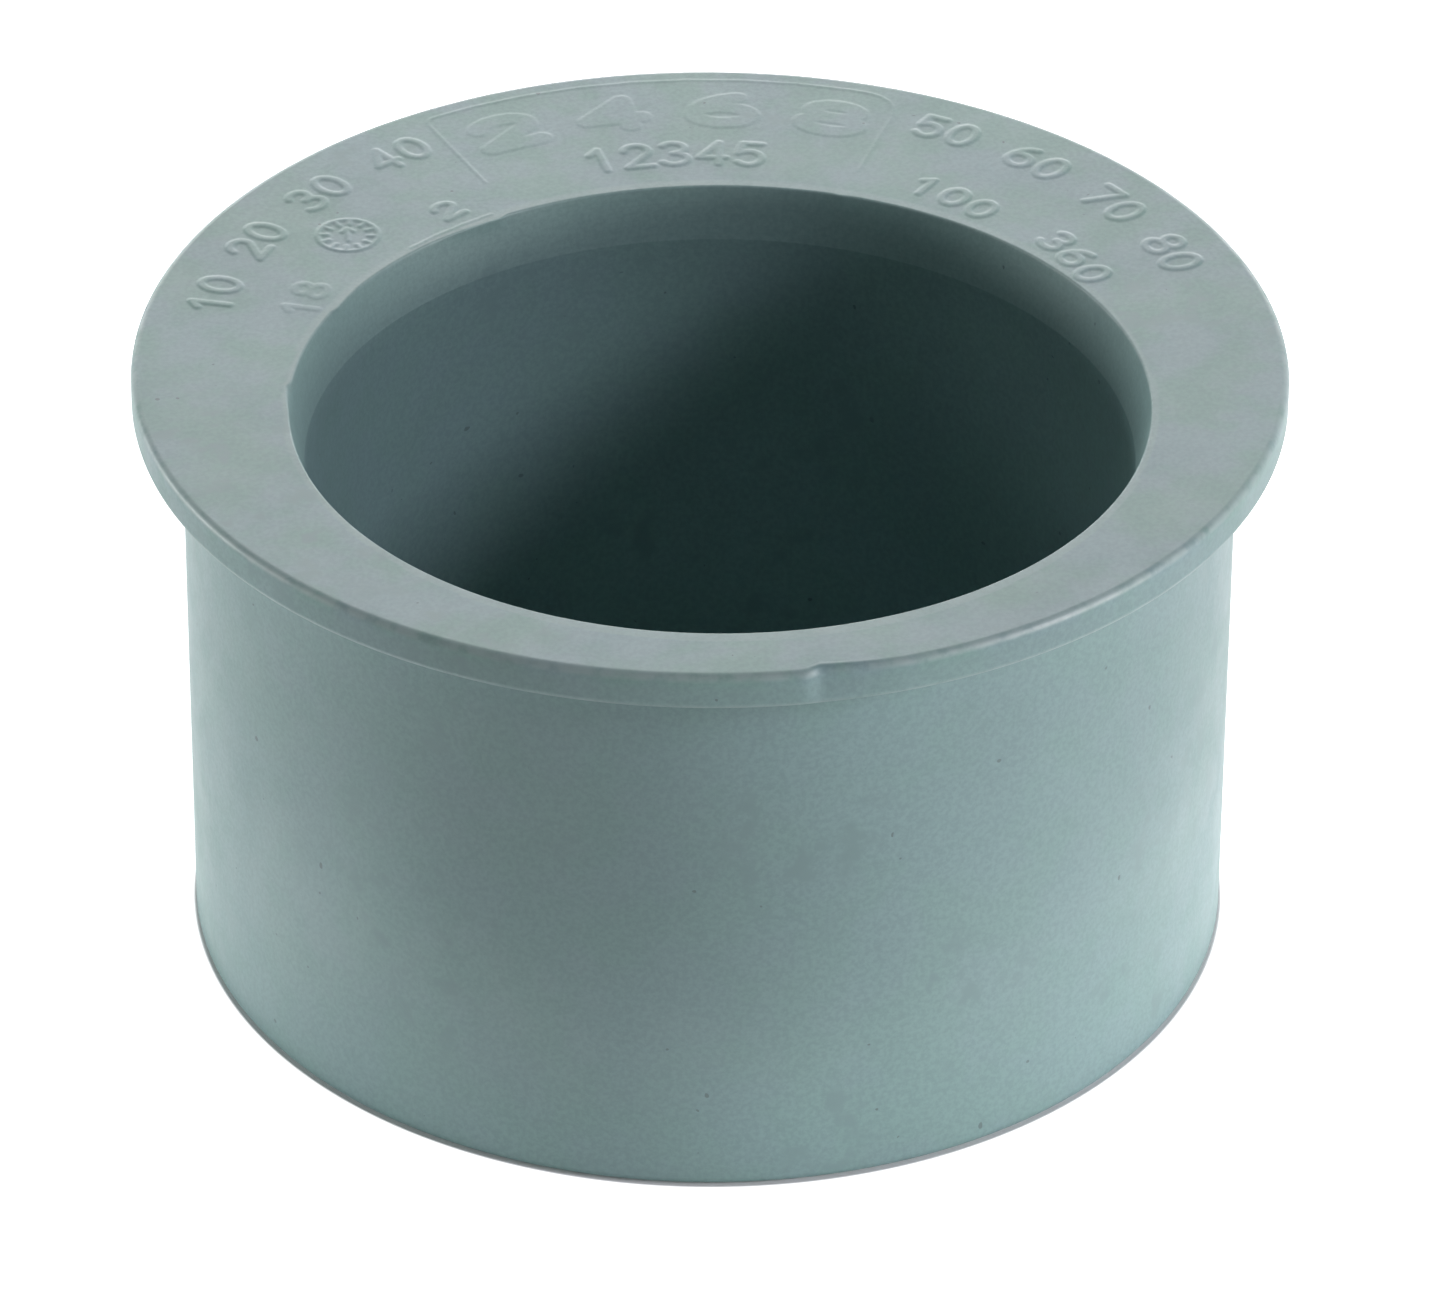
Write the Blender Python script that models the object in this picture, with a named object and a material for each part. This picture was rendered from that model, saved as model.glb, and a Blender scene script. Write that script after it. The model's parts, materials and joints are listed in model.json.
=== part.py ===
"""Eccentric reducer bush for solvent-weld waste pipe, modelled as its one injection moulding.

The spigot stands on z = 0 with its axis on +Z through the origin. It glues into a fitting of
the larger pipe size. The socket that takes the smaller pipe is bored from the flange down. Its
axis lies towards -Y, where the wall between socket and spigot is thinnest, so the two pipes run
nearly level along that side. On the far side a crescent is cored out from the spigot end,
between the spigot's wall and the sleeve round the socket, and ribs tie the two together.
All sizes are in metres.
"""

import math

import bmesh
import bpy
from mathutils import Matrix, Vector

# Spigot: the outside that glues into the larger size
SPIGOT_DIAMETER = 0.0558
SPIGOT_LENGTH = 0.0315
SPIGOT_DRAFT = math.radians(0.05)
SPIGOT_WALL = 0.0024
SPIGOT_END_ROUND = 0.0004

# Flange: the rim that stops the spigot at full depth
FLANGE_OVERHANG = 0.0026
FLANGE_THICKNESS = 0.0021
FLANGE_TOP_ROUND = 0.0003
FLANGE_LOWER_ROUND = 0.0002
FLANGE_ROOT_FILLET = 0.0003

# Socket: the bore that takes the smaller pipe, narrowest at its root, where the pipe stops
SOCKET_ROOT_DIAMETER = 0.0430
SOCKET_DEPTH = 0.0294
SOCKET_TAPER = 0.0003
LEAD_IN_FLARE = 0.00065
LEAD_IN_DEPTH = 0.00315
MOUTH_CHAMFER = 0.0001
PIPE_STOP_WIDTH = 0.0019
SLEEVE_WALL = 0.0022
NEAR_SIDE_WALL = 0.00172

# Crescent core-out, open at the spigot end
CRESCENT_TOP_PLATE = 0.0030
CRESCENT_TIP_WIDTH = 0.0015
CRESCENT_DRAFT = math.radians(0.5)
CRESCENT_FLOOR_RADIUS = 0.0004

# Ribs across the crescent
RIB_COUNT = 3
RIB_SPACING = math.radians(50)
RIB_THICKNESS = 0.0015
RIB_SETBACK = 0.0080

# Gate scar: the flat where the moulding was cut from its sprue
GATE_ANGLE = math.radians(-87.8)
GATE_STEP = 0.0004
GATE_SPAN = math.radians(9.5)

# Fineness of the round faces, and how far a cutter runs past what it cuts
SEGMENTS = 128
ROUND_STEPS = 3
OVERCUT = 0.0020
SHARP_ANGLE = math.radians(35)

ABS_GREY = (0.250, 0.313, 0.296, 1.0)
ABS_ROUGHNESS = 0.42

# Worked out from the sizes above
TOTAL_HEIGHT = SPIGOT_LENGTH + FLANGE_THICKNESS
SPIGOT_RADIUS = SPIGOT_DIAMETER / 2
SPIGOT_END_RADIUS = SPIGOT_RADIUS - SPIGOT_LENGTH * math.tan(SPIGOT_DRAFT)
FLANGE_RADIUS = SPIGOT_RADIUS + FLANGE_OVERHANG
ROOT_RADIUS = SOCKET_ROOT_DIAMETER / 2
ENTRY_RADIUS = ROOT_RADIUS + SOCKET_TAPER
MOUTH_RADIUS = ENTRY_RADIUS + LEAD_IN_FLARE
NECK_RADIUS = ROOT_RADIUS - PIPE_STOP_WIDTH
PIPE_STOP_HEIGHT = TOTAL_HEIGHT - SOCKET_DEPTH
ECCENTRICITY = SPIGOT_RADIUS - NEAR_SIDE_WALL - ENTRY_RADIUS


def clear_scene():
    """Remove every object, so that the script gives the same result in any file."""
    for obj in list(bpy.data.objects):
        bpy.data.objects.remove(obj, do_unlink=True)


def make_material(name, colour, roughness):
    """Return a plain moulded-plastic material."""
    material = bpy.data.materials.new(name)
    material.use_nodes = True
    shader = material.node_tree.nodes["Principled BSDF"]
    shader.inputs["Base Color"].default_value = colour
    shader.inputs["Roughness"].default_value = roughness
    shader.inputs["Metallic"].default_value = 0.0
    material.diffuse_color = colour
    return material


def add_object(name, bm):
    """Turn a bmesh into an object of the scene, with its faces pointing out."""
    bmesh.ops.recalc_face_normals(bm, faces=bm.faces)
    mesh = bpy.data.meshes.new(name)
    bm.to_mesh(mesh)
    bm.free()
    mesh.shade_smooth()
    mesh.set_sharp_from_angle(angle=SHARP_ANGLE)
    obj = bpy.data.objects.new(name, mesh)
    bpy.context.scene.collection.objects.link(obj)
    return obj


def polar(radius, angle):
    """The point at this radius and angle about the Z axis."""
    return Vector((radius * math.cos(angle), radius * math.sin(angle), 0.0))


def arc(centre_r, centre_z, radius, start_degrees, end_degrees):
    """Points of a profile's round corner, both ends included."""
    points = []
    for step in range(ROUND_STEPS + 1):
        angle = math.radians(start_degrees + (end_degrees - start_degrees) * step / ROUND_STEPS)
        points.append((centre_r + radius * math.cos(angle), centre_z + radius * math.sin(angle)))
    return points


def turned_solid(name, profile):
    """Spin an open profile of (radius, height) points about Z and close its two round ends."""
    bm = bmesh.new()
    verts = [bm.verts.new((radius, 0.0, height)) for radius, height in profile]
    edges = [bm.edges.new(pair) for pair in zip(verts, verts[1:])]
    bmesh.ops.spin(bm, geom=verts + edges, cent=(0, 0, 0), axis=(0, 0, 1),
                   angle=2 * math.pi, steps=SEGMENTS, use_merge=True)
    bmesh.ops.holes_fill(bm, edges=[edge for edge in bm.edges if edge.is_boundary])
    return add_object(name, bm)


def lofted_solid(name, outlines):
    """Skin a stack of outlines that have the same number of points, and close both ends."""
    bm = bmesh.new()
    rings = [[bm.verts.new(point) for point in outline] for outline in outlines]
    for lower, upper in zip(rings, rings[1:]):
        for i in range(len(lower)):
            j = (i + 1) % len(lower)
            bm.faces.new((lower[i], lower[j], upper[j], upper[i]))
    bm.faces.new(rings[0])
    bm.faces.new(rings[-1])
    return add_object(name, bm)


def box_solid(name, size, place):
    """A box of this size, centred on the origin and then moved by the matrix."""
    bm = bmesh.new()
    bmesh.ops.create_cube(bm, size=1.0, matrix=place @ Matrix.Diagonal((*size, 1.0)))
    return add_object(name, bm)


def cut(target, cutter):
    """Subtract the cutter from the target and keep the cutter out of the model."""
    modifier = target.modifiers.new("cut_" + cutter.name, "BOOLEAN")
    modifier.operation = "DIFFERENCE"
    modifier.solver = "EXACT"
    modifier.object = cutter
    cutter.display_type = "WIRE"
    cutter.hide_render = True


def outer_form():
    """Spigot and flange, turned in one profile from the spigot end up."""
    end = SPIGOT_END_ROUND
    root = FLANGE_ROOT_FILLET
    low = FLANGE_LOWER_ROUND
    top = FLANGE_TOP_ROUND
    profile = arc(SPIGOT_END_RADIUS - end, end, end, -90, 0)
    profile += arc(SPIGOT_RADIUS + root, SPIGOT_LENGTH - root, root, 180, 90)
    profile += arc(FLANGE_RADIUS - low, SPIGOT_LENGTH + low, low, -90, 0)
    profile += arc(FLANGE_RADIUS - top, TOTAL_HEIGHT - top, top, 0, 90)
    return turned_solid("reducer_body", profile)


def socket_core():
    """The tapered socket, its lead-in and the narrower bore past the pipe stop."""
    core = turned_solid("socket_core", [
        (NECK_RADIUS, -OVERCUT),
        (NECK_RADIUS, PIPE_STOP_HEIGHT),
        (ROOT_RADIUS, PIPE_STOP_HEIGHT),
        (ENTRY_RADIUS, TOTAL_HEIGHT - LEAD_IN_DEPTH),
        (MOUTH_RADIUS, TOTAL_HEIGHT - MOUTH_CHAMFER),
        (MOUTH_RADIUS + MOUTH_CHAMFER + OVERCUT, TOTAL_HEIGHT + OVERCUT),
    ])
    core.location.y = -ECCENTRICITY
    return core


def spigot_hollow():
    """The space inside the spigot's wall, with draft and a radius round its floor."""
    floor = TOTAL_HEIGHT - CRESCENT_TOP_PLATE
    fillet = CRESCENT_FLOOR_RADIUS
    draft = math.tan(CRESCENT_DRAFT)
    wall = SPIGOT_RADIUS - SPIGOT_WALL
    profile = [(wall + OVERCUT * draft, -OVERCUT)]
    profile += arc(wall - (floor - fillet) * draft - fillet, floor - fillet, fillet, 0, 90)
    return turned_solid("crescent_core", profile)


def socket_sleeve():
    """The sleeve round the socket, which widens with the draft and flares into the floor."""
    floor = TOTAL_HEIGHT - CRESCENT_TOP_PLATE
    fillet = CRESCENT_FLOOR_RADIUS
    draft = math.tan(CRESCENT_DRAFT)
    outside = ENTRY_RADIUS + SLEEVE_WALL
    foot = -2 * OVERCUT
    profile = [(outside + foot * draft, foot)]
    profile += arc(outside + (floor - fillet) * draft + fillet, floor - fillet, fillet, 180, 90)
    profile.append((profile[-1][0], floor + OVERCUT))
    sleeve = turned_solid("socket_sleeve", profile)
    sleeve.location.y = -ECCENTRICITY
    return sleeve


def near_side_web():
    """The solid side of the ring, up to where the crescent is as wide as its tips.

    A round tip touches the spigot's wall and the sleeve, so its centre is known to lie half a
    tip from each, and that gives how far back it lies.
    """
    outer = SPIGOT_RADIUS - SPIGOT_WALL - CRESCENT_TIP_WIDTH / 2
    inner = ENTRY_RADIUS + SLEEVE_WALL + CRESCENT_TIP_WIDTH / 2
    tip_y = (inner ** 2 - outer ** 2 - ECCENTRICITY ** 2) / (2 * ECCENTRICITY)
    foot = -2 * OVERCUT
    draft = math.tan(CRESCENT_DRAFT)
    reach = 2 * FLANGE_RADIUS
    outlines = []
    for height in (foot, TOTAL_HEIGHT + OVERCUT):
        far = tip_y + height * draft
        corners = ((-reach, -reach), (reach, -reach), (reach, far), (-reach, far))
        outlines.append([(x, y, height) for x, y in corners])
    return lofted_solid("near_side_web", outlines)


def crescent_core():
    """The crescent: the spigot's hollow less the sleeve, the near side's web and the ribs."""
    core = spigot_hollow()
    cut(core, socket_sleeve())
    cut(core, near_side_web())
    for index in range(RIB_COUNT):
        cut(core, rib_blank(index))
    return core


def rib_blank(index):
    """One rib, as the box that stays uncut where it crosses the crescent."""
    turn = (index - (RIB_COUNT - 1) / 2) * RIB_SPACING
    inner = ROOT_RADIUS - ECCENTRICITY
    size = (RIB_THICKNESS, SPIGOT_RADIUS - inner, TOTAL_HEIGHT - RIB_SETBACK)
    middle = Vector((0.0, (SPIGOT_RADIUS + inner) / 2, (TOTAL_HEIGHT + RIB_SETBACK) / 2))
    place = Matrix.Rotation(turn, 4, "Z") @ Matrix.Translation(middle)
    return box_solid(f"rib_blank_{index + 1}", size, place)


def gate_trim():
    """The off-tangent cut across the flange's rim, with a step at its first end."""
    start = polar(FLANGE_RADIUS - GATE_STEP, GATE_ANGLE)
    end = polar(FLANGE_RADIUS, GATE_ANGLE + GATE_SPAN)
    along = (end - start).normalized()
    outward = Vector((along.y, -along.x, 0.0))
    size = Vector(((end - start).length + OVERCUT, OVERCUT, FLANGE_THICKNESS + 2 * OVERCUT))
    centre = start + along * size.x / 2 + outward * size.y / 2
    centre.z = SPIGOT_LENGTH + FLANGE_THICKNESS / 2
    place = Matrix.Translation(centre) @ Matrix.Rotation(math.atan2(along.y, along.x), 4, "Z")
    return box_solid("gate_trim", size, place)


def build_reducer():
    """Turn the outer form, then core the socket and the ribbed crescent out of it."""
    body = outer_form()
    body.data.materials.append(make_material("abs_grey", ABS_GREY, ABS_ROUGHNESS))
    cut(body, socket_core())
    cut(body, crescent_core())
    cut(body, gate_trim())


clear_scene()
build_reducer()
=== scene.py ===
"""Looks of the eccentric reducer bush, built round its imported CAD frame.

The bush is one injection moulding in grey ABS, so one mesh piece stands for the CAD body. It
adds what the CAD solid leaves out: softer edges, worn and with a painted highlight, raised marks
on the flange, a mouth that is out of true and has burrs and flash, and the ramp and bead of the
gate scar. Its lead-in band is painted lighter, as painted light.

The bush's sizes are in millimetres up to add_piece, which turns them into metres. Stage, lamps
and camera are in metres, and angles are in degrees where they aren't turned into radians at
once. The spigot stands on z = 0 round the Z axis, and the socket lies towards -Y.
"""

import json
import math

import bmesh
import bpy
import numpy as np
from mathutils import Matrix, Quaternion, Vector

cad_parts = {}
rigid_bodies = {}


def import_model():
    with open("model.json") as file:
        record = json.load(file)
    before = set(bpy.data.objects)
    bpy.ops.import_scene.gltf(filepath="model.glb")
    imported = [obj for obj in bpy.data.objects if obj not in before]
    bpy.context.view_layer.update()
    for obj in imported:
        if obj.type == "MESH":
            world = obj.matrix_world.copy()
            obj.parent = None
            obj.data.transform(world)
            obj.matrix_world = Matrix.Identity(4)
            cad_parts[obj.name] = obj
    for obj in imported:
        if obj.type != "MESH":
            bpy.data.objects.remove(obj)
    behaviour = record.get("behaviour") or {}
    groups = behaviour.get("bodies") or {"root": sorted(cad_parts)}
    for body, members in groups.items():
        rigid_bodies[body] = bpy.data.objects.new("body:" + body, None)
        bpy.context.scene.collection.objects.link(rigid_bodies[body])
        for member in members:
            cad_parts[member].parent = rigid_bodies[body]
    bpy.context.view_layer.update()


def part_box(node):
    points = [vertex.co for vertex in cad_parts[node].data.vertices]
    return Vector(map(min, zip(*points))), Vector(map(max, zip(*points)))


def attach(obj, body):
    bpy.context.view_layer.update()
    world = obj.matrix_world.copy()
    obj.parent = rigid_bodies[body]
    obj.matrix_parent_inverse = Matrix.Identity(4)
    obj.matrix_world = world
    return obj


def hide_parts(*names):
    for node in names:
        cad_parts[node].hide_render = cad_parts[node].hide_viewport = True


MM = 0.001
CAD_NODE = "reducer_body"

# Spigot and flange, about the Z axis
SPIGOT_DIAMETER = 55.8
SPIGOT_DRAFT = math.radians(0.05)
SPIGOT_WALL = 2.4
FLANGE_THICKNESS = 2.1

# Socket, about its own axis
SOCKET_ROOT_DIAMETER = 43.0
SOCKET_DEPTH = 29.4
SOCKET_TAPER = 0.3
LEAD_IN_FLARE = 0.65
LEAD_IN_DEPTH = 3.15
PIPE_STOP_WIDTH = 1.9
NEAR_SIDE_WALL = 1.72
SLEEVE_WALL = 2.2

# How far the mouth has shrunk: all round, out of true, and drawn towards the thick side
MOUTH_SHRINK = 0.10
MOUTH_OVALITY = 0.21
MOUTH_DRIFT = 0.02

# Crescent core-out and its ribs. A corner takes no more than its share of the tip's width, and
# the core reaches out of the spigot's end by the overcut
CRESCENT_TOP_PLATE = 3.0
CRESCENT_TIP_WIDTH = 1.5
CRESCENT_DRAFT = math.radians(0.5)
CRESCENT_FLOOR_RADIUS = 0.4
CRESCENT_LIP_RADIUS = 0.15
CRESCENT_CORNER_ROUND = 0.3
CRESCENT_CORNER_SHARE = 0.25
CRESCENT_OVERCUT = 2.0
RIB_COUNT = 3
RIB_SPACING = math.radians(50)
RIB_THICKNESS = 1.5
RIB_SETBACK = 8.0
RIB_EDGE_ROUND = 0.3
ROUND_PROFILE = 0.5

# Rounding of the turned edges
NECK_ROUND = 0.15
LEDGE_FILLET = 0.2
LEAD_IN_ROUND = 0.12
MOUTH_ROUND = 0.12
FLANGE_TOP_ROUND = 0.4
FLANGE_LOWER_ROUND = 0.35
FLANGE_ROOT_FILLET = 0.3
SPIGOT_END_ROUND = 0.4

# Gate scar: the flat where the moulding was cut from its sprue. It starts at an angle with a steep
# ramp and runs out over its span. It is deepest at the rim's top edge, with a share of that depth
# left at the rim's foot, and a bead of plastic is pushed up along its top
GATE_ANGLE = -87.8
GATE_STEP = 0.4
GATE_SPAN = 9.5
GATE_RAMP = 1.3
GATE_FOOT_SHARE = 0.1
GATE_BEAD = 0.09
GATE_BEAD_WIDTH = 0.25
GATE_BEAD_FADE = 8

# Burrs and a dent in the mouth's edge, in degrees about the socket's axis: the tip, where it has
# faded out, and how far the tip stands into the bore, or back from it where that is negative
MOUTH_BURRS = [
    (115.5, 127.0, 0.24),
    (148.5, 142.0, 0.15),
    (66.0, 64.0, 0.08),
    (169.8, 176.0, -0.24),
]
BURR_RAMP = 1.3
BURR_DEPTH = 0.7

# Raised marks: their rise over the flange's face, the width of their sloping sides, the strokes
# of the numbers, the gap between letters as a share of the stroke, and how far a curved stroke
# turns from point to point, in degrees, with at least so many steps
MARK_RISE = 0.06
FAINT_RISE = 0.035
MARK_SLOPE = 0.22
FINE_STROKE = 0.42
BOLD_STROKE = 1.15
LETTER_GAP_SHARE = 0.55
STROKE_TURN = 18
LEAST_STEPS = 3

# Plain numbers: text, radius, angle, height, pitch, width of a letter, stroke and rise. With no
# width, a letter fills its pitch but for the gap
NUMBERS = [
    ("2468", 26.0, 88.2, 3.9, 6.1, 4.2, BOLD_STROKE, FAINT_RISE),
    ("12345", 21.3, 88.2, 2.7, 2.05, None, FINE_STROKE, MARK_RISE),
    ("10 20 30 40", 27.1, 140.8, 2.5, 1.98, None, FINE_STROKE, MARK_RISE),
    ("50 60 70 80", 27.1, 35.6, 2.5, 1.98, None, FINE_STROKE, MARK_RISE),
    ("2", 20.7, 126.3, 1.9, 1.9, None, FINE_STROKE, MARK_RISE),
    ("18", 22.3, 157.9, 2.2, 1.9, None, FINE_STROKE, FAINT_RISE),
    ("100", 21.3, 44.6, 2.1, 1.9, None, FINE_STROKE, MARK_RISE),
    ("360", 22.2, 21.0, 2.2, 1.9, None, FINE_STROKE, MARK_RISE),
]

# Date dial: a ring, a tick for each month that starts at a share of its radius, and an arrow
DIAL_RADIUS = 23.1
DIAL_ANGLE = 140.5
DIAL_SIZE = 3.3
DIAL_STROKE = 0.26
DIAL_MONTHS = 12
DIAL_TICK_START = 0.68
DIAL_ARROW = [[(-0.45, -0.35), (0.5, 0.4)], [(0.1, 0.45), (0.55, 0.45), (0.5, 0.0)]]

# Panel line: an arc at the back of the flange from the left to the right, with a point about
# every turn, and its two ends, which it reaches round corners of these radii
PANEL_RADIUS = 29.3
PANEL_SPAN = (115.4, 61.7)
PANEL_TURN = 6
PANEL_ENDS = ((-9.9, 19.4), (10.4, 18.4))
PANEL_CORNERS = (0.6, 2.0)
PANEL_STROKE = 0.16
PANEL_RISE = 0.035

# Flash lip: a low bead beside part of the mouth's edge
FLASH_LIP_SPAN = (116, 130)
FLASH_LIP_GAP = 0.22
FLASH_LIP_STROKE = 0.1
FLASH_LIP_RISE = 0.05

# Worn edges, with a painted highlight at the flange: how far they reach from an edge, and their
# strength at the flange's top and lower edges and at the mouth
HIGHLIGHT_AND_WEAR_REACH = 0.45
RIM_HIGHLIGHT_AND_WEAR = 1.5
UNDER_RIM_HIGHLIGHT_AND_WEAR = 0.7
MOUTH_WEAR = 0.25

# Fineness of the mesh: points round a loop, rows across the flange's face, steps in a rounding
# and the gap to the point that supports it, extra rows up the lead-in as shares of its height,
# and steps along the crescent
COLUMNS = 600
FACE_ROWS = 40
ROUND_STEPS = 4
SUPPORT_GAP = 0.06
LEAD_IN_ROWS = (0.3, 0.6, 0.76, 0.86, 0.94)
CRESCENT_STEPS = 100

# Finer mesh beside the marks, what counts as flat or as one point, and what shows as sharp
MARK_CUTS = 2
MARK_MARGIN = 0.3
FLAT_TOLERANCE = 0.00001
WELD_DISTANCE = 0.00001
SHARP_ANGLE = math.radians(40)

# Worked out from the sizes above
SPIGOT_RADIUS = SPIGOT_DIAMETER / 2
ROOT_RADIUS = SOCKET_ROOT_DIAMETER / 2
ENTRY_RADIUS = ROOT_RADIUS + SOCKET_TAPER
MOUTH_RADIUS = ENTRY_RADIUS + LEAD_IN_FLARE
NECK_RADIUS = ROOT_RADIUS - PIPE_STOP_WIDTH
SOCKET_Y = NEAR_SIDE_WALL + ENTRY_RADIUS - SPIGOT_RADIUS

# Colours of the plastic, linear
ABS_GREY = (0.202, 0.318, 0.317, 1.0)
ABS_LAVENDER = (0.202, 0.315, 0.335, 1.0)
ABS_GREEN = (0.182, 0.321, 0.293, 1.0)
ABS_SPECK = (0.120, 0.185, 0.185, 1.0)
ABS_SMUDGE = (0.188, 0.296, 0.296, 1.0)
# Pale edge colour: wear, and a painted highlight along the flange's rounded edges
ABS_WORN_AND_LIT = (0.370, 0.480, 0.475, 1.0)
# Lighter colour of the lead-in band: painted light
ABS_LEAD_IN_LIT = (0.228, 0.352, 0.347, 1.0)
WEAR_AND_HIGHLIGHT_ATTRIBUTE = "wear_and_highlight"
LIT_LEAD_IN_ATTRIBUTE = "turned"

# The plastic: its index of refraction, how deep below the top the blotches of the flange's face
# have faded and begin to fade, how strong they are at these two depths, and how much finer the
# streaks in the lead-in's painted light are up the lead-in than round it
ABS_IOR = 1.52
BLOTCH_DEPTHS = (1.1, 0.2)
BLOTCH_STRENGTHS = (0.25, 1.0)
STREAK_STRETCH = 60.0

# Patterns in the plastic: noise cells per metre, detail and roughness, the range of the noise
# that is used, and what that range becomes
PATTERNS = {
    "blotch": (210, 3.0, 0.6, (0.38, 0.62), (0.0, 1.0)),
    "streak": (130, 2.0, 0.5, (0.3, 0.7), (0.7, 1.0)),
    "cloud": (55, 2.0, 0.5, (0.3, 0.7), (0.95, 1.05)),
    "mottle": (3600, 2.0, 0.7, (0.3, 0.7), (0.93, 1.07)),
    "speck": (1900, 0.0, 0.5, (0.862, 0.880), (0.0, 1.0)),
    "smudge": (560, 2.0, 0.5, (0.54, 0.70), (0.0, 1.0)),
    "smudged_area": (75, 1.0, 0.5, (0.50, 0.66), (0.0, 1.0)),
    "rubbing_and_highlight": (900, 3.0, 0.5, (0.30, 0.60), (0.25, 1.0)),
    "roughness": (420, 4.0, 0.6, (0.3, 0.7), (0.38, 0.46)),
}

# Bumps in the skin: noise cells per metre, detail and roughness, strength and height in metres
GRAIN_BUMPS = (5200, 2.0, 0.6, 0.35, 0.000012)
WAVY_BUMPS = (160, 1.0, 0.5, 0.5, 0.00006)

# Floor: half its side, how far it lies below the foot, how far out the bush keeps the light off
# it for reflections, and how far out the dark line of contact reaches for the camera
FLOOR_HALF = 4.0
FLOOR_DROP = 0.00002
FLOOR_WHITE = (0.92, 0.92, 0.92, 1.0)
FOOT_SHADE_REACH = 0.001
CONTACT_SHADE_REACH = 0.0002

# World: white, of this strength where it is seen, and this strong as a source of light
WHITE = (1.0, 1.0, 1.0, 1.0)
WORLD_SEEN = 1.0
WORLD_LIGHT = 0.0

# Soft boxes, all at one distance and turned to one height on the axis: azimuth (0 faces the
# front, 90 the right), elevation, width, height, power and colour
LAMP_DISTANCE = 0.8
LAMP_AIM_HEIGHT = 0.02
NEUTRAL = (1.0, 1.0, 1.0)
COOL = (1.0, 0.94, 1.04)
WARM = (1.05, 0.99, 0.94)
SOFT_BOXES = {
    "behind_low": (175, 12, 0.95, 0.30, 3.1, NEUTRAL),
    "behind_high": (175, 45, 0.50, 0.30, 2.05, NEUTRAL),
    "left_low": (-110, 3, 0.60, 0.10, 3.3, NEUTRAL),
    "left_mid": (-100, 26, 0.60, 0.20, 0.55, NEUTRAL),
    "right_low": (62, 2.5, 0.45, 0.10, 2.8, WARM),
    "right_mid": (61, 25, 0.24, 0.18, 2.5, COOL),
    "front_low": (5, 3, 0.60, 0.10, 0.10, COOL),
}

# Low strips on the floor round the front of the foot, for the light that a bright table throws
# up: azimuths, distance from the axis, width, height and power
FOOT_STRIPS = (-72, -36, 0, 36, 72)
FOOT_STRIP_DISTANCE = 0.038
FOOT_STRIP_SIZE = (0.022, 0.004)
FOOT_STRIP_POWER = 0.00026

# Camera: sensor and lens in millimetres, the point it looks at, where it stands and its roll
CAMERA_SENSOR = 36
CAMERA_LENS = 236.4
CAMERA_TARGET = (0.000735, -0.00009, 0.015206)
CAMERA_AZIMUTH = -7.26
CAMERA_ELEVATION = 33.30
CAMERA_DISTANCE = 0.51004
CAMERA_ROLL = math.radians(0.353)


# ---------------------------------------------------------------- profile and loops


def rounded_corner(before, corner, after, radius):
    """Points that round one corner of a profile, with a point just outside each end of it."""
    back = (before - corner).normalized()
    onward = (after - corner).normalized()
    half = back.angle(onward) / 2
    reach = radius / math.tan(half)
    centre = corner + (back + onward).normalized() * radius / math.sin(half)
    first = corner + back * reach - centre
    last = corner + onward * reach - centre
    sweep = math.pi - 2 * half
    points = [corner + back * (reach + SUPPORT_GAP)]
    for step in range(ROUND_STEPS + 1):
        turned = sweep * step / ROUND_STEPS
        blend = first * math.sin(sweep - turned) + last * math.sin(turned)
        points.append(centre + blend / math.sin(sweep))
    points.append(corner + onward * (reach + SUPPORT_GAP))
    return points


def rounded_profile(start, corners, end):
    """A profile of (radius, height) points with every corner (radius, height, round) rounded."""
    stops = [Vector(start)] + [Vector(corner[:2]) for corner in corners] + [Vector(end)]
    points = []
    for index, corner in enumerate(corners):
        points += rounded_corner(*stops[index:index + 3], corner[2])
    return points


def column_angles():
    """The angles that every loop of the moulding has its points at."""
    return np.arange(COLUMNS) * 2 * math.pi / COLUMNS


def loop(radius, centre_y, height):
    """One closed loop of points about an axis at centre_y, with one radius or one for each."""
    angles = column_angles()
    points = np.empty((COLUMNS, 3))
    points[:, 0] = radius * np.cos(angles)
    points[:, 1] = centre_y + radius * np.sin(angles)
    points[:, 2] = height
    return points


def burrs():
    """How far the mouth's edge stands out from true, towards the wall, at each column."""
    degrees = np.degrees(column_angles())
    shift = np.zeros(COLUMNS)
    for tip, tail, depth in MOUTH_BURRS:
        onward = math.copysign(1.0, tail - tip)
        past = (degrees - tip) * onward
        fading = np.interp(past, [-BURR_RAMP, 0.0, abs(tail - tip)], [0.0, 1.0, 0.0])
        shift -= depth * fading
    return shift


def gate_flat():
    """How far the gate cut takes the flange's rim in at each column."""
    degrees = (np.degrees(column_angles()) + 180) % 360 - 180
    stops = [GATE_ANGLE, GATE_ANGLE + GATE_RAMP, GATE_ANGLE + GATE_SPAN]
    return np.interp(degrees, stops, [0.0, GATE_STEP, 0.0])


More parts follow.
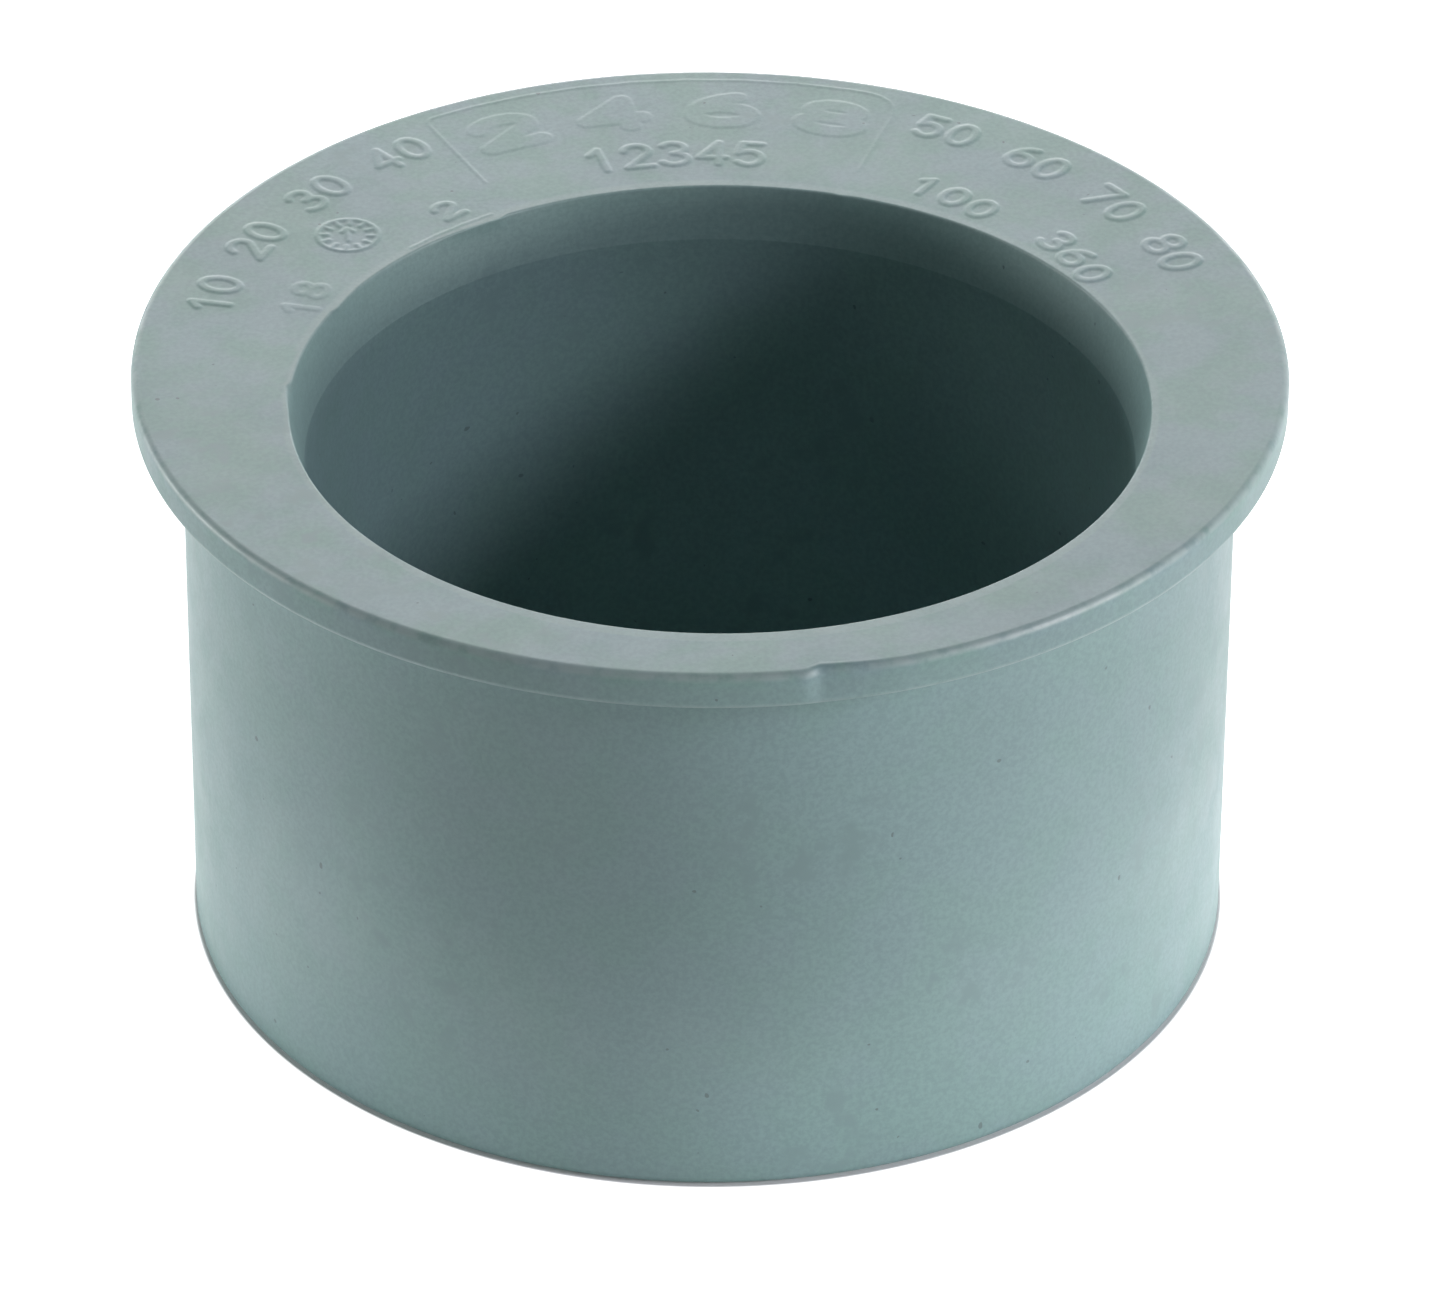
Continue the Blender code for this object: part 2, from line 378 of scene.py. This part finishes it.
def bore_loops(face):
    """Loops up the bore, from the spigot's end face to just outside the mouth."""
    stop_height = face - SOCKET_DEPTH
    entry_height = face - LEAD_IN_DEPTH
    profile = rounded_profile(
        (SPIGOT_RADIUS, 0),
        [
            (NECK_RADIUS, 0, NECK_ROUND),
            (NECK_RADIUS, stop_height, NECK_ROUND),
            (ROOT_RADIUS, stop_height, LEDGE_FILLET),
            (ENTRY_RADIUS, entry_height, LEAD_IN_ROUND),
            (MOUTH_RADIUS, face, MOUTH_ROUND),
        ],
        (SPIGOT_RADIUS, face),
    )
    # The mouth is the last corner, and the extra rows go just before it
    corner_points = ROUND_STEPS + 3
    mouth = len(profile) - corner_points
    below, above = profile[mouth - 1], profile[mouth]
    profile[mouth:mouth] = [below.lerp(above, share) for share in LEAD_IN_ROWS]
    oval = MOUTH_OVALITY * np.cos(2 * column_angles()) - MOUTH_SHRINK
    loops = []
    for radius, height in profile:
        share = max(0.0, (height - entry_height) / LEAD_IN_DEPTH)
        edge = max(0.0, 1.0 - (face - height) / BURR_DEPTH) ** 2
        width = radius + share * oval + edge * burrs()
        loops.append(loop(width, SOCKET_Y + share * MOUTH_DRIFT, height))
    return loops


def outer_loops(face):
    """Loops down the outside, from the flange's top edge to the spigot's end face."""
    flange_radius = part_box(CAD_NODE)[1].x / MM
    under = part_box(CAD_NODE)[1].z / MM - FLANGE_THICKNESS
    end_radius = SPIGOT_RADIUS - under * math.tan(SPIGOT_DRAFT)
    profile = rounded_profile(
        (SPIGOT_RADIUS, face),
        [
            (flange_radius, face, FLANGE_TOP_ROUND),
            (flange_radius, under, FLANGE_LOWER_ROUND),
            (SPIGOT_RADIUS, under, FLANGE_ROOT_FILLET),
            (end_radius, 0, SPIGOT_END_ROUND),
        ],
        (NECK_RADIUS, 0),
    )
    # The gate cut moves only what lies outside the fillet at the flange's root and its support
    on_rim = SPIGOT_RADIUS + FLANGE_ROOT_FILLET + 2 * SUPPORT_GAP
    crest = flange_radius - FLANGE_TOP_ROUND / 2
    loops = []
    for radius, height in profile:
        up = max(0.0, (height - under) / FLANGE_THICKNESS)
        trim = gate_flat() * (GATE_FOOT_SHARE + (1 - GATE_FOOT_SHARE) * up)
        bead = max(0.0, 1.0 - abs(radius - crest) / GATE_BEAD_WIDTH) * up ** GATE_BEAD_FADE
        rise = gate_flat() / GATE_STEP * GATE_BEAD * bead
        loops.append(loop(radius - trim * (radius > on_rim), 0.0, height + rise))
    return loops


def face_loops(inner, outer):
    """Loops across the flange face that pass from the mouth's shape to the rim's."""
    shares = [row / FACE_ROWS for row in range(1, FACE_ROWS)]
    return [inner + (outer - inner) * share for share in shares]


# ---------------------------------------------------------------- raised marks


def bow(centre_u, centre_v, reach_u, reach_v, start, end, turn=STROKE_TURN):
    """An elliptical arc between two angles in degrees, with a point about every turn."""
    steps = max(LEAST_STEPS, round(abs(end - start) / turn))
    angles = [math.radians(start + (end - start) * step / steps) for step in range(steps + 1)]
    return [(centre_u + reach_u * math.cos(a), centre_v + reach_v * math.sin(a)) for a in angles]


# Strokes of each letter, in a frame where the letter is 1 wide and 1 high
GLYPHS = {
    "0": [bow(0.5, 0.5, 0.5, 0.5, 0, 360)],
    "1": [[(0.15, 0.78), (0.55, 1), (0.55, 0)]],
    "2": [bow(0.5, 0.72, 0.48, 0.28, 170, -35) + [(0, 0), (1, 0)]],
    "3": [bow(0.45, 0.76, 0.45, 0.24, 150, -90), bow(0.45, 0.26, 0.52, 0.26, 90, -150)],
    "4": [[(0.75, 0), (0.75, 1), (0, 0.3), (1, 0.3)]],
    "5": [[(0.9, 1), (0.15, 1), (0.06, 0.52)] + bow(0.48, 0.32, 0.5, 0.32, 130, -140)],
    "6": [bow(0.5, 0.3, 0.5, 0.3, 0, 360), bow(0.9, 0.32, 0.9, 0.68, 180, 100)],
    "7": [[(0, 1), (1, 1), (0.35, 0)]],
    "8": [bow(0.5, 0.76, 0.42, 0.24, 0, 360), bow(0.5, 0.26, 0.5, 0.26, 0, 360)],
    " ": [],
}


def set_on_arc(paths, radius, degrees):
    """Moves paths from a frame whose up points outward to their place on the flange."""
    angle = math.radians(degrees)
    outward = np.array((math.cos(angle), math.sin(angle)))
    right = np.array((math.sin(angle), -math.cos(angle)))
    placed = []
    for path in paths:
        u, v = np.array(path, float).T
        placed.append(outward * (radius + v[:, None]) + right * u[:, None])
    return placed


def numbers(text, radius, degrees, height, pitch, width, stroke, rise):
    """Strokes of a line of text that reads clockwise, centred on this radius and angle."""
    across = (width or pitch - LETTER_GAP_SHARE * stroke) - stroke
    strokes = []
    for index, letter in enumerate(text):
        turn = math.degrees((index - (len(text) - 1) / 2) * pitch / radius)
        paths = [[((u - 0.5) * across, (v - 0.5) * (height - stroke)) for u, v in path]
                 for path in GLYPHS[letter]]
        for path in set_on_arc(paths, radius, degrees - turn):
            strokes.append((path, stroke, rise))
    return strokes


def date_dial():
    """Strokes of the date dial: a ring with its ticks and an arrow."""
    outer = DIAL_SIZE / 2
    inner = DIAL_TICK_START * outer
    paths = [bow(0, 0, outer, outer, 0, 360)] + DIAL_ARROW
    for month in range(DIAL_MONTHS):
        angle = math.tau * month / DIAL_MONTHS
        paths.append([(reach * math.cos(angle), reach * math.sin(angle)) for reach in (inner, outer)])
    placed = set_on_arc(paths, DIAL_RADIUS, DIAL_ANGLE)
    return [(path, DIAL_STROKE, MARK_RISE) for path in placed]


def panel_line():
    """The fine ridge round the panel at the back of the flange."""
    arc = bow(0, 0, PANEL_RADIUS, PANEL_RADIUS, *PANEL_SPAN, PANEL_TURN)
    outer = [Vector(point) for point in arc]
    left, right = [Vector(end) for end in PANEL_ENDS]
    path = [left, *rounded_corner(left, outer[0], outer[1], PANEL_CORNERS[0])]
    path += outer[1:-1]
    path += [*rounded_corner(outer[-2], outer[-1], right, PANEL_CORNERS[1]), right]
    return [(np.array(path), PANEL_STROKE, PANEL_RISE)]


def flash_lip():
    """The low bead of flash along the mouth's edge."""
    reach = MOUTH_RADIUS + FLASH_LIP_GAP
    path = np.array(bow(0, SOCKET_Y + MOUTH_DRIFT, reach, reach, *FLASH_LIP_SPAN))
    return [(path, FLASH_LIP_STROKE, FLASH_LIP_RISE)]


def all_marks():
    """Every raised stroke on the flange face, as (path, width, height)."""
    marks = panel_line() + date_dial() + flash_lip()
    for row in NUMBERS:
        marks += numbers(*row)
    return marks


def distance_to(path, points):
    """How far each point lies from a path of straight stretches."""
    nearest = np.full(len(points), np.inf)
    for a, b in zip(path, path[1:]):
        along = b - a
        share = np.clip((points - a) @ along / (along @ along), 0, 1)
        nearest = np.minimum(nearest, np.linalg.norm(points - a - share[:, None] * along, axis=1))
    return nearest


def marked(points, marks, margin):
    """Yields, for each mark, the points near it, how far they lie from its edge, and its rise."""
    for path, width, rise in marks:
        path = np.asarray(path, float)
        reach = width / 2 + margin
        inside = np.all((points > path.min(0) - reach) & (points < path.max(0) + reach), axis=1)
        near = np.flatnonzero(inside)
        yield near, distance_to(path, points[near]) - width / 2, rise


def relief(points, marks):
    """Height of the marks over each point of the flange face, with sloping sides."""
    height = np.zeros(len(points))
    for near, gap, rise in marked(points, marks, MARK_SLOPE):
        share = np.clip(0.5 - gap / MARK_SLOPE, 0, 1)
        height[near] = np.maximum(height[near], rise * share ** 2 * (3 - 2 * share))
    return height


def beside_marks(points, marks):
    """Whether each point is near enough to a mark to need a finer mesh."""
    close = np.zeros(len(points), bool)
    for near, gap, _ in marked(points, marks, MARK_MARGIN):
        close[near] |= gap < MARK_MARGIN
    return close


# ---------------------------------------------------------------- crescent and ribs


def arc_above(radius, centre_y, lowest_y):
    """Points along a circle about (0, centre_y), from right to left, as far down as lowest_y."""
    start = math.asin((lowest_y - centre_y) / radius)
    points = []
    for step in range(CRESCENT_STEPS + 1):
        angle = start + (math.pi - 2 * start) * step / CRESCENT_STEPS
        points.append(Vector((radius * math.cos(angle), centre_y + radius * math.sin(angle))))
    return points


def web_face():
    """How far back the near side's web ends the crescent, which is one tip wide there."""
    outer = SPIGOT_RADIUS - SPIGOT_WALL - CRESCENT_TIP_WIDTH / 2
    inner = ENTRY_RADIUS + SLEEVE_WALL + CRESCENT_TIP_WIDTH / 2
    return (inner ** 2 - outer ** 2 - SOCKET_Y ** 2) / (-2 * SOCKET_Y)


def crescent_outline(height, inset):
    """The crescent between the spigot's wall, the socket's sleeve and the near side's web."""
    web = web_face() + inset
    outer = arc_above(SPIGOT_RADIUS - SPIGOT_WALL - inset, 0.0, web)
    inner = arc_above(ENTRY_RADIUS + SLEEVE_WALL + inset, SOCKET_Y, web)
    stops = outer + inner[::-1]
    corners = {0, len(outer) - 1, len(outer), len(stops) - 1}
    tip_width = outer[0].x - inner[0].x
    corner_round = min(CRESCENT_CORNER_ROUND, CRESCENT_CORNER_SHARE * tip_width)
    points = []
    for index, stop in enumerate(stops):
        if index in corners:
            after = stops[(index + 1) % len(stops)]
            points += rounded_corner(stops[index - 1], stop, after, corner_round)
        else:
            points.append(stop)
    return [(point.x, point.y, height) for point in points]


def quarter_round():
    """The angles of the steps in a quarter of a turn."""
    return [math.pi / 2 * step / ROUND_STEPS for step in range(ROUND_STEPS + 1)]


def crescent_core(top):
    """The drafted crescent with a rounded lip at the spigot's end and a radius round its floor."""
    floor = top - CRESCENT_TOP_PLATE
    fillet = CRESCENT_FLOOR_RADIUS
    lip = CRESCENT_LIP_RADIUS
    draft = math.tan(CRESCENT_DRAFT)
    outlines = [crescent_outline(-CRESCENT_OVERCUT, -lip)]
    for swing in quarter_round():
        outlines.append(crescent_outline(lip - lip * math.cos(swing), lip * math.sin(swing) - lip))
    for swing in quarter_round():
        inset = (floor - fillet) * draft + fillet * (1 - math.cos(swing))
        outlines.append(crescent_outline(floor - fillet + fillet * math.sin(swing), inset))
    bm = bmesh.new()
    rings = [[bm.verts.new(point) for point in outline] for outline in outlines]
    for lower, upper in zip(rings, rings[1:]):
        for i in range(len(lower)):
            j = (i + 1) % len(lower)
            bm.faces.new((lower[i], lower[j], upper[j], upper[i]))
    bm.faces.new(rings[0])
    bm.faces.new(rings[-1])
    bmesh.ops.recalc_face_normals(bm, faces=bm.faces)
    return bm


def rib_blank(index, top):
    """One rib, as a box with rounded lower edges, where it crosses the crescent."""
    turn = (index - (RIB_COUNT - 1) / 2) * RIB_SPACING
    inner = ROOT_RADIUS + SOCKET_Y
    size = (RIB_THICKNESS, SPIGOT_RADIUS - inner, top - RIB_SETBACK)
    middle = Vector((0.0, (SPIGOT_RADIUS + inner) / 2, (top + RIB_SETBACK) / 2))
    place = Matrix.Rotation(turn, 4, "Z") @ Matrix.Translation(middle)
    bm = bmesh.new()
    bmesh.ops.create_cube(bm, size=1.0, matrix=Matrix.Diagonal((*size, 1.0)))
    lower = [edge for edge in bm.edges
             if all(vert.co.z < 0 for vert in edge.verts)
             and edge.verts[0].co.x == edge.verts[1].co.x]
    bmesh.ops.bevel(bm, geom=lower, offset=RIB_EDGE_ROUND, segments=ROUND_STEPS,
                    profile=ROUND_PROFILE, affect="EDGES")
    bmesh.ops.transform(bm, matrix=place, verts=bm.verts)
    return bm


# ---------------------------------------------------------------- the moulding


def mesh_object(name, bm):
    """An object in the scene made from a mesh, which is used up."""
    mesh = bpy.data.meshes.new(name)
    bm.to_mesh(mesh)
    bm.free()
    obj = bpy.data.objects.new(name, mesh)
    bpy.context.scene.collection.objects.link(obj)
    return obj


def cut_with(bm, cutters):
    """The mesh less all the cutters; all of them are used up."""
    target = mesh_object("uncut", bm)
    tools = [mesh_object("cutter", cutter) for cutter in cutters]
    for tool in tools:
        modifier = target.modifiers.new("cut", "BOOLEAN")
        modifier.operation = "DIFFERENCE"
        modifier.solver = "EXACT"
        modifier.object = tool
    result = bmesh.new()
    result.from_object(target, bpy.context.evaluated_depsgraph_get())
    bmesh.ops.remove_doubles(result, verts=result.verts, dist=WELD_DISTANCE)
    for obj in [target] + tools:
        bpy.data.objects.remove(obj)
    return result


def turned_shell(face):
    """The closed shell of the bush before its crescent is cored out."""
    bore = bore_loops(face)
    outer = outer_loops(face)
    loops = bore + face_loops(bore[-1], outer[0]) + outer
    bm = bmesh.new()
    rings = [[bm.verts.new(point) for point in points] for points in loops]
    for lower, upper in zip(rings, rings[1:] + rings[:1]):
        for i in range(COLUMNS):
            j = (i + 1) % COLUMNS
            bm.faces.new((lower[i], upper[i], upper[j], lower[j]))
    bmesh.ops.recalc_face_normals(bm, faces=bm.faces)
    return bm


def raise_marks(bm, face):
    """Refines the flange face beside the marks and lifts their strokes."""
    marks = all_marks()
    flat = [part for part in bm.faces
            if all(abs(vert.co.z - face) < FLAT_TOLERANCE for vert in part.verts)]
    middles = np.array([part.calc_center_median()[:2] for part in flat])
    fine = np.flatnonzero(beside_marks(middles, marks))
    edges = {edge for index in fine for edge in flat[index].edges}
    bmesh.ops.subdivide_edges(bm, edges=list(edges), cuts=MARK_CUTS, use_grid_fill=True)
    top = [vert for vert in bm.verts if abs(vert.co.z - face) < FLAT_TOLERANCE]
    heights = relief(np.array([vert.co[:2] for vert in top]), marks)
    for vert, height in zip(top, heights):
        vert.co.z += height


def nearness(distance):
    """1 at an edge, falling to 0 at the reach of the worn edges and their painted highlight."""
    return max(0.0, 1.0 - abs(distance) / HIGHLIGHT_AND_WEAR_REACH)


def mark_surfaces(bm, face, flange_radius):
    """Stores where the edges are worn, with a painted highlight at the flange's edges, and which
    points of the lead-in band get painted light.
    """
    wear_and_highlight = bm.verts.layers.float.new(WEAR_AND_HIGHLIGHT_ATTRIBUTE)
    turned = bm.verts.layers.float.new(LIT_LEAD_IN_ATTRIBUTE)
    for vert in bm.verts:
        mouth = (vert.co.xy - Vector((0.0, SOCKET_Y))).length - MOUTH_RADIUS
        near_top = nearness(vert.co.z - face)
        near_under = nearness(vert.co.z - face + FLANGE_THICKNESS)
        at_rim = nearness(flange_radius - vert.co.xy.length)
        # The flange's rounded edges are worn and also get a painted highlight where light catches
        # them
        rim_highlight_and_wear = at_rim * max(RIM_HIGHLIGHT_AND_WEAR * near_top, UNDER_RIM_HIGHLIGHT_AND_WEAR * near_under)
        mouth_wear = MOUTH_WEAR * nearness(mouth) * near_top
        vert[wear_and_highlight] = min(1.0, max(rim_highlight_and_wear, mouth_wear))
        # Marks the lead-in band, which the material paints lighter: painted light
        vert[turned] = mouth < HIGHLIGHT_AND_WEAR_REACH and 0 < face - vert.co.z < LEAD_IN_DEPTH


def add_piece(name, bm, material):
    """Turns a mesh in millimetres into a shaded piece in metres that rides on the CAD body."""
    bmesh.ops.transform(bm, matrix=Matrix.Scale(MM, 4), verts=bm.verts)
    piece = mesh_object(name, bm)
    piece.data.shade_smooth()
    piece.data.set_sharp_from_angle(angle=SHARP_ANGLE)
    piece.data.materials.append(material)
    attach(piece, "root")
    return piece


def build_moulding():
    """The bush as one piece, in place of its CAD node."""
    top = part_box(CAD_NODE)[1].z / MM
    face = top - MARK_RISE
    shell = turned_shell(face)
    core = cut_with(crescent_core(top), [rib_blank(index, top) for index in range(RIB_COUNT)])
    bm = cut_with(shell, [core])
    raise_marks(bm, face)
    mark_surfaces(bm, face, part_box(CAD_NODE)[1].x / MM)
    piece = add_piece("reducer_moulding", bm, abs_plastic(top))
    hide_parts(CAD_NODE)


# ---------------------------------------------------------------- materials


def add_node(tree, kind, **values):
    """A node of this kind, with properties set by name."""
    node = tree.nodes.new("ShaderNode" + kind)
    for name, value in values.items():
        setattr(node, name, value)
    return node


def feed(tree, socket, value):
    """Links an output to an input, or sets the input to a plain value."""
    if isinstance(value, bpy.types.NodeSocket):
        tree.links.new(value, socket)
    else:
        socket.default_value = value


def combine(tree, operation, first, second):
    """Works out one value from two, such as their product."""
    node = add_node(tree, "Math", operation=operation)
    feed(tree, node.inputs[0], first)
    feed(tree, node.inputs[1], second)
    return node.outputs[0]


def noise(tree, place, scale, detail, roughness):
    """Noise of this many cells per metre; returns its 0 to 1 output."""
    node = add_node(tree, "TexNoise")
    node.inputs["Scale"].default_value = scale
    node.inputs["Detail"].default_value = detail
    node.inputs["Roughness"].default_value = roughness
    tree.links.new(place, node.inputs["Vector"])
    return node.outputs["Fac"]


def ramp(tree, value, low, high, to_low=0.0, to_high=1.0):
    """Maps a value from one range to another with soft ends."""
    node = add_node(tree, "MapRange", interpolation_type="SMOOTHSTEP")
    node.inputs["From Min"].default_value = low
    node.inputs["From Max"].default_value = high
    node.inputs["To Min"].default_value = to_low
    node.inputs["To Max"].default_value = to_high
    tree.links.new(value, node.inputs["Value"])
    return node.outputs["Result"]


def pattern(tree, place, name):
    """One of PATTERNS, laid over the object or over a stretched copy of its coordinates."""
    scale, detail, roughness, used, result = PATTERNS[name]
    return ramp(tree, noise(tree, place, scale, detail, roughness), *used, *result)


# The Mix node has sockets for each kind of data; these are its share and those for colours
MIX_INPUTS = (0, 6, 7)
MIX_OUTPUT = 2


def tint(tree, share, colour, other, mode="MIX"):
    """Mixes a colour, or a colour output, with another by a share."""
    node = add_node(tree, "Mix", data_type="RGBA", blend_type=mode)
    for socket, value in zip(MIX_INPUTS, (share, colour, other)):
        feed(tree, node.inputs[socket], value)
    return node.outputs[MIX_OUTPUT]


def stored(tree, name):
    """What mark_surfaces stored at each point under this name."""
    return add_node(tree, "Attribute", attribute_name=name).outputs["Fac"]


def blotched_base(tree, place, top):
    """The base colour, with blotches of two tints on the flange's face that fade below it."""
    height = add_node(tree, "SeparateXYZ")
    tree.links.new(place, height.inputs[0])
    low, high = [(top - depth) * MM for depth in BLOTCH_DEPTHS]
    on_face = ramp(tree, height.outputs["Z"], low, high, *BLOTCH_STRENGTHS)
    blotches = tint(tree, pattern(tree, place, "blotch"), ABS_LAVENDER, ABS_GREEN)
    return tint(tree, on_face, ABS_GREY, blotches)


def lit_lead_in_with_streaks(tree, place, colour):
    """The lead-in band painted lighter, as painted light where it catches light, with streaks in it.
    """
    stretched = add_node(tree, "VectorMath", operation="MULTIPLY")
    stretched.inputs[1].default_value = (1.0, 1.0, STREAK_STRETCH)
    tree.links.new(place, stretched.inputs[0])
    streak = pattern(tree, stretched.outputs["Vector"], "streak")
    share = combine(tree, "MULTIPLY", stored(tree, LIT_LEAD_IN_ATTRIBUTE), streak)
    return tint(tree, share, colour, ABS_LEAD_IN_LIT)


def mottled(tree, place, colour):
    """Broad clouds and fine mottling."""
    for name in ("cloud", "mottle"):
        colour = tint(tree, 1.0, colour, pattern(tree, place, name), mode="MULTIPLY")
    return colour


def specked_worn_and_edge_lit(tree, place, colour):
    """Specks, smudges here and there, and edges that are worn and painted pale as a highlight."""
    colour = tint(tree, pattern(tree, place, "speck"), colour, ABS_SPECK)
    smudge, area = [pattern(tree, place, name) for name in ("smudge", "smudged_area")]
    colour = tint(tree, combine(tree, "MULTIPLY", smudge, area), colour, ABS_SMUDGE)
    rubbing_and_highlight = pattern(tree, place, "rubbing_and_highlight")
    worn_and_lit = combine(tree, "MULTIPLY", stored(tree, WEAR_AND_HIGHLIGHT_ATTRIBUTE), rubbing_and_highlight)
    return tint(tree, worn_and_lit, colour, ABS_WORN_AND_LIT)


def bumps(tree, place, scale, detail, roughness, strength, height):
    """A bump node of this noise."""
    node = add_node(tree, "Bump")
    node.inputs["Strength"].default_value = strength
    node.inputs["Distance"].default_value = height
    tree.links.new(noise(tree, place, scale, detail, roughness), node.inputs["Height"])
    return node


def abs_plastic(top):
    """Grey moulded ABS: mild blotches, fine mottling, a few specks, worn edges with a painted
    highlight, a lead-in band painted lighter as painted light, and a satin skin.
    """
    material = bpy.data.materials.new("abs_grey_moulded")
    material.use_nodes = True
    tree = material.node_tree
    shader = tree.nodes["Principled BSDF"]
    shader.inputs["IOR"].default_value = ABS_IOR
    place = add_node(tree, "TexCoord").outputs["Object"]

    colour = blotched_base(tree, place, top)
    for layer in (lit_lead_in_with_streaks, mottled, specked_worn_and_edge_lit):
        colour = layer(tree, place, colour)
    tree.links.new(colour, shader.inputs["Base Color"])
    tree.links.new(pattern(tree, place, "roughness"), shader.inputs["Roughness"])

    grain = bumps(tree, place, *GRAIN_BUMPS)
    waves = bumps(tree, place, *WAVY_BUMPS)
    tree.links.new(grain.outputs["Normal"], waves.inputs["Normal"])
    tree.links.new(waves.outputs["Normal"], shader.inputs["Normal"])
    return material


def seen_plainly(tree):
    """1 for the rays that should meet a plain white background: camera, glossy, transmission."""
    path = add_node(tree, "LightPath")
    seen = path.outputs["Is Camera Ray"]
    for name in ("Is Glossy Ray", "Is Transmission Ray"):
        seen = combine(tree, "MAXIMUM", seen, path.outputs[name])
    return seen


def foot_shade(tree, off_axis):
    """0 at the bush's foot and 1 in the open, much sooner for the camera than for reflections."""
    foot = SPIGOT_RADIUS * MM
    fading = ramp(tree, off_axis, foot, foot + FOOT_SHADE_REACH)
    contact = ramp(tree, off_axis, foot, foot + CONTACT_SHADE_REACH)
    camera = add_node(tree, "LightPath").outputs["Is Camera Ray"]
    return combine(tree, "MAXIMUM", fading, combine(tree, "MULTIPLY", contact, camera))


def pale_floor():
    """Matt white that glows, so that it shows as white, but not where the bush covers it.

    The glow also fades close to the foot: in reflections as far out as the bush keeps the light
    off it, and for the camera only in the thin line of contact.
    """
    material = bpy.data.materials.new("pale_floor")
    material.use_nodes = True
    tree = material.node_tree
    shader = tree.nodes["Principled BSDF"]
    shader.inputs["Base Color"].default_value = FLOOR_WHITE
    shader.inputs["Roughness"].default_value = 1.0
    shader.inputs["Specular IOR Level"].default_value = 0.0
    shader.inputs["Emission Color"].default_value = WHITE
    distance = add_node(tree, "VectorMath", operation="LENGTH")
    tree.links.new(add_node(tree, "NewGeometry").outputs["Position"], distance.inputs[0])
    off_axis = distance.outputs["Value"]
    middle_of_wall = (SPIGOT_RADIUS - SPIGOT_WALL / 2) * MM
    uncovered = combine(tree, "GREATER_THAN", off_axis, middle_of_wall)
    glow = seen_plainly(tree)
    for share in (uncovered, foot_shade(tree, off_axis)):
        glow = combine(tree, "MULTIPLY", glow, share)
    tree.links.new(glow, shader.inputs["Emission Strength"])
    return material


# ---------------------------------------------------------------- stage, light and camera


def add_floor():
    """A plain floor under the object."""
    mesh = bpy.data.meshes.new("floor")
    half = FLOOR_HALF
    corners = [(-half, -half, 0), (half, -half, 0), (half, half, 0), (-half, half, 0)]
    mesh.from_pydata(corners, [], [(0, 1, 2, 3)])
    mesh.materials.append(pale_floor())
    floor = bpy.data.objects.new("floor", mesh)
    bpy.context.scene.collection.objects.link(floor)
    floor.location.z = -FLOOR_DROP


def direction(azimuth, elevation):
    """Unit vector towards a place round the object; azimuth 0 is the front, and 90 the right."""
    a = math.radians(azimuth)
    e = math.radians(elevation)
    return Vector((math.sin(a) * math.cos(e), -math.cos(a) * math.cos(e), math.sin(e)))


def add_lamp(name, place, aim, width, height, power, colour):
    """A rectangular lamp at this place that faces along the aim."""
    lamp = bpy.data.lights.new(name, "AREA")
    lamp.shape = "RECTANGLE"
    lamp.size = width
    lamp.size_y = height
    lamp.energy = power
    lamp.color = colour
    obj = bpy.data.objects.new(name, lamp)
    obj.location = place
    obj.rotation_euler = (-aim).to_track_quat("Z", "Y").to_euler()
    obj.visible_camera = False
    bpy.context.scene.collection.objects.link(obj)


def add_lamps():
    """The soft boxes, all turned to the object, and the strips round its foot."""
    aim_point = Vector((0, 0, LAMP_AIM_HEIGHT))
    for name, (azimuth, elevation, *rest) in SOFT_BOXES.items():
        back = direction(azimuth, elevation)
        add_lamp(name, back * LAMP_DISTANCE + aim_point, -back, *rest)
    for index, azimuth in enumerate(FOOT_STRIPS):
        back = direction(azimuth, 0)
        place = back * FOOT_STRIP_DISTANCE + Vector((0, 0, FOOT_STRIP_SIZE[1] / 2))
        add_lamp(f"foot_strip_{index + 1}", place, -back, *FOOT_STRIP_SIZE, FOOT_STRIP_POWER, NEUTRAL)


def set_world():
    """White to the camera and in reflections, and only WORLD_LIGHT strong as a source of light."""
    world = bpy.data.worlds.new("studio")
    bpy.context.scene.world = world
    world.use_nodes = True
    tree = world.node_tree
    background = tree.nodes["Background"]
    background.inputs["Color"].default_value = WHITE
    level = ramp(tree, seen_plainly(tree), 0.0, 1.0, WORLD_LIGHT, WORLD_SEEN)
    tree.links.new(level, background.inputs["Strength"])


def add_camera():
    """A long lens, a little left of the front and well above the flange."""
    data = bpy.data.cameras.new("camera")
    data.sensor_width = CAMERA_SENSOR
    data.lens = CAMERA_LENS
    camera = bpy.data.objects.new("camera", data)
    back = direction(CAMERA_AZIMUTH, CAMERA_ELEVATION)
    camera.location = Vector(CAMERA_TARGET) + back * CAMERA_DISTANCE
    camera.rotation_mode = "QUATERNION"
    level = back.to_track_quat("Z", "Y")
    camera.rotation_quaternion = level @ Quaternion((0, 0, 1), CAMERA_ROLL)
    bpy.context.scene.collection.objects.link(camera)
    bpy.context.scene.camera = camera


def clear_scene():
    """Removes what a new file holds."""
    for obj in list(bpy.data.objects):
        bpy.data.objects.remove(obj)


clear_scene()
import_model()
build_moulding()
add_floor()
add_lamps()
set_world()
add_camera()
bpy.context.scene.view_settings.view_transform = "Standard"
